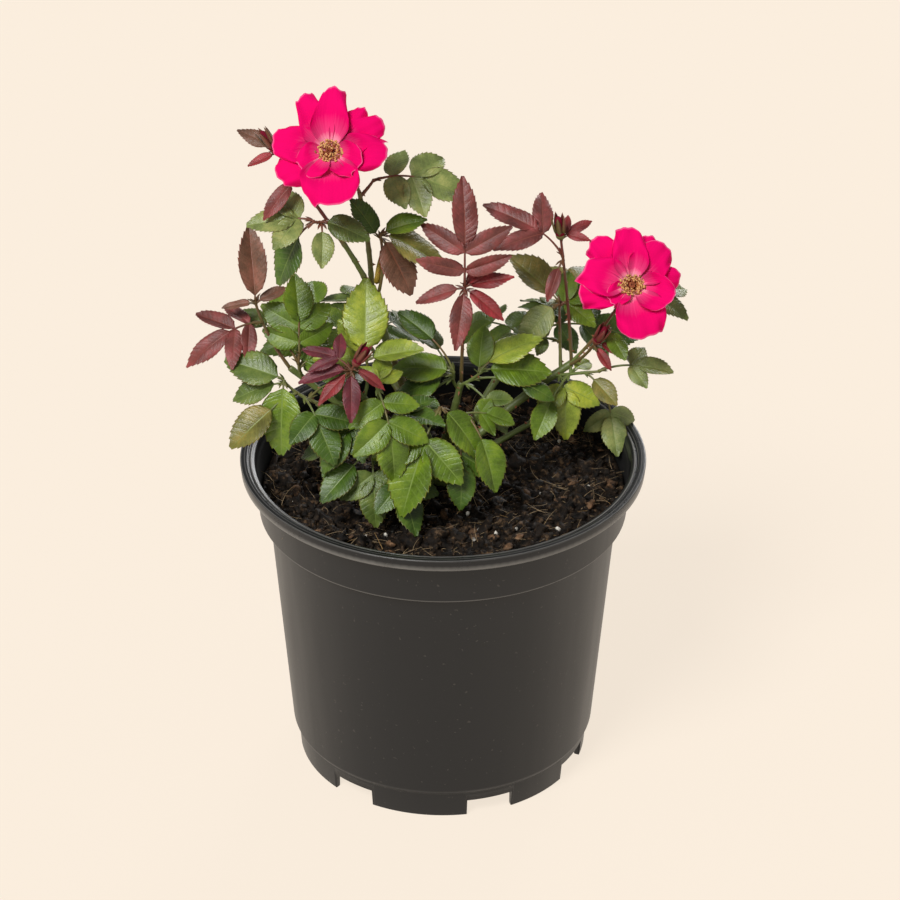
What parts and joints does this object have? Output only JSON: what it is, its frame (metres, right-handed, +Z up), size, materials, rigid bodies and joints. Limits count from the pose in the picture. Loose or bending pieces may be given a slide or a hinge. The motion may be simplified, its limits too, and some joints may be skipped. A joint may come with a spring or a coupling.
{
  "type": "rose bush in a nursery pot",
  "caption": "Young rose bush with open pink blooms, dark red new shoots and glossy green leaves, standing in a round black nursery pot filled with potting mix.",
  "frame": {"origin": "Middle of the pot's foot ring, on the ground it stands on.", "axes": "+Z up, -Y the front that the picture shows, +X to the viewer's right."},
  "size_m": [0.34, 0.28, 0.512],
  "materials": {
    "pot": "black blow-moulded plastic with a soft sheen",
    "soil": "dark moist potting mix of bark chips, peat and white grains",
    "cane": "green young bark, flushed with red, with thorns",
    "leaf": "glossy green leaflets with pale veins",
    "young_leaf": "glossy dark red new leaflets",
    "petal": "silky deep pink petals round golden stamens"
  },
  "bodies": {
    "root": {"pot": "pot", "soil": "soil", "crown_stem": "cane", "cane_left": "cane", "cane_left_top": "cane", "cane_left_bloom": "cane", "cane_left_side": "cane", "cane_left_front": "cane", "cane_left_low": "cane", "cane_centre": "cane", "cane_right": "cane", "cane_right_low": "cane", "cane_front": "cane", "cane_low": "cane", "cane_back_left": "cane", "cane_back_right": "cane", "bloom_left": "petal", "green_spray_top": "leaf", "bronze_spray": "leaf", "green_spray_left": "leaf", "red_tuft_left": "young_leaf", "red_shoot_left": "young_leaf", "green_left_side": "leaf", "red_shoot_middle": "young_leaf", "bright_spray": "leaf", "left_low": "leaf", "front_left": "leaf", "red_shoot_centre": "young_leaf", "centre_left": "leaf", "centre_right": "leaf", "bud_shoot_right": "young_leaf", "olive_spray": "leaf", "bloom_right": "petal", "bud_right": "young_leaf", "green_right": "leaf", "droop_right": "leaf", "front": "leaf", "front_right": "leaf", "low_centre": "leaf", "back_left": "leaf", "back_right": "leaf"}
  },
  "joints": []
}
